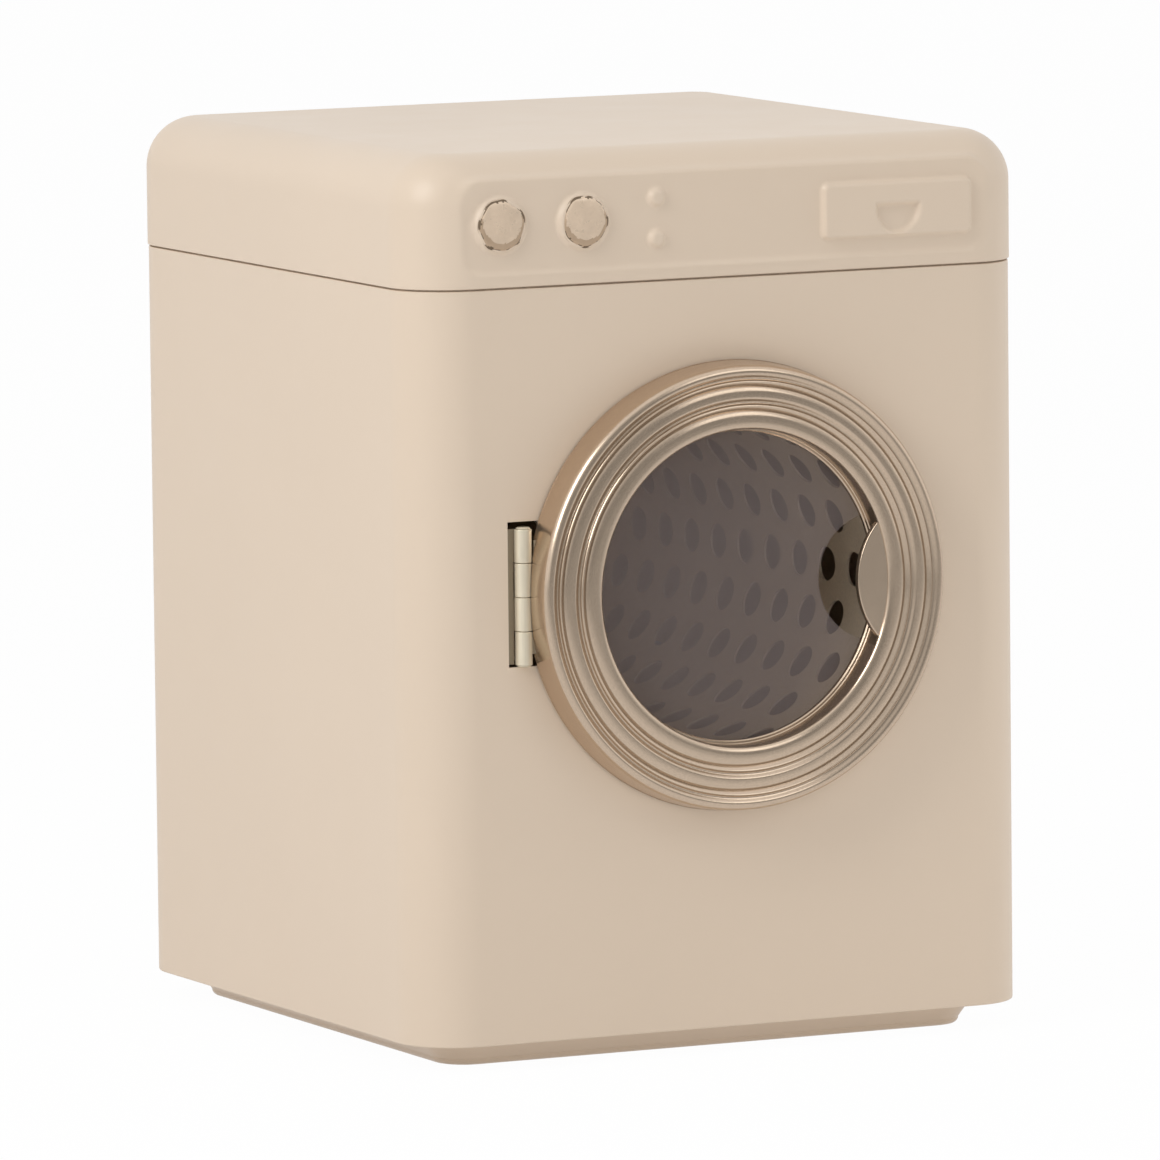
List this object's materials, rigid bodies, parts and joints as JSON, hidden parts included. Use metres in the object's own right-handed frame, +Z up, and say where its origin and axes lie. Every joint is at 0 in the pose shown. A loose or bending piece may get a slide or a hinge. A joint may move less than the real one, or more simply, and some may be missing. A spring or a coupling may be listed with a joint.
{
  "type": "toy washing machine",
  "caption": "Toy front-loading washing machine in painted tinplate, with a hinged porthole door, a tinted window with a finger notch, and a perforated drum that turns.",
  "frame": {"origin": "middle of the plinth's flat underside, midway between the cabinet's front and back", "axes": "+X to the right seen from the front, +Y to the back, +Z up"},
  "size_m": [0.0904, 0.0968, 0.12],
  "materials": {
    "cream_paint": "satin enamel on tinplate",
    "gold_foil": "crumpled metal foil",
    "champagne_ring": "satin metallic champagne coat on moulded plastic",
    "tinted_window": "clear gloss, smoke tint",
    "hinge_metal": "pale lacquered metal",
    "bright_metal": "zinc plated",
    "magnet_steel": "nickel plated",
    "drum_tin": "metallic champagne lacquer",
    "nylon": "natural"
  },
  "bodies": {
    "cabinet": {"cabinet_shell": "cream_paint", "rear_panel": "cream_paint", "rear_panel_rivets": "bright_metal", "top_cover": "cream_paint", "base_tray": "cream_paint", "program_dial_foil": "gold_foil", "temperature_dial_foil": "gold_foil", "hinge_cabinet_leaf": "hinge_metal", "hinge_pin": "hinge_metal", "drum_spindle": "bright_metal", "rear_washer": "nylon", "front_washer": "nylon", "spindle_cap": "bright_metal"},
    "door": {"door_ring": "champagne_ring", "door_window": "tinted_window", "window_retainer": "champagne_ring", "door_magnet": "magnet_steel", "hinge_door_leaf": "hinge_metal", "door_leaf_screws": "bright_metal"},
    "drum": {"drum_shell": "drum_tin", "drum_back": "drum_tin", "drum_hub": "nylon"}
  },
  "joints": [
    {"name": "door_hinge", "type": "hinge", "parent": "cabinet", "child": "door", "pos_m": [-0.03015, -0.04572, 0.062], "axis": [0, 0, -1], "range_deg": [0, 95]},
    {"name": "drum_spin", "type": "hinge", "parent": "cabinet", "child": "drum", "pos_m": [0, 0, 0.062], "axis": [0, 1, 0], "continuous": true}
  ]
}
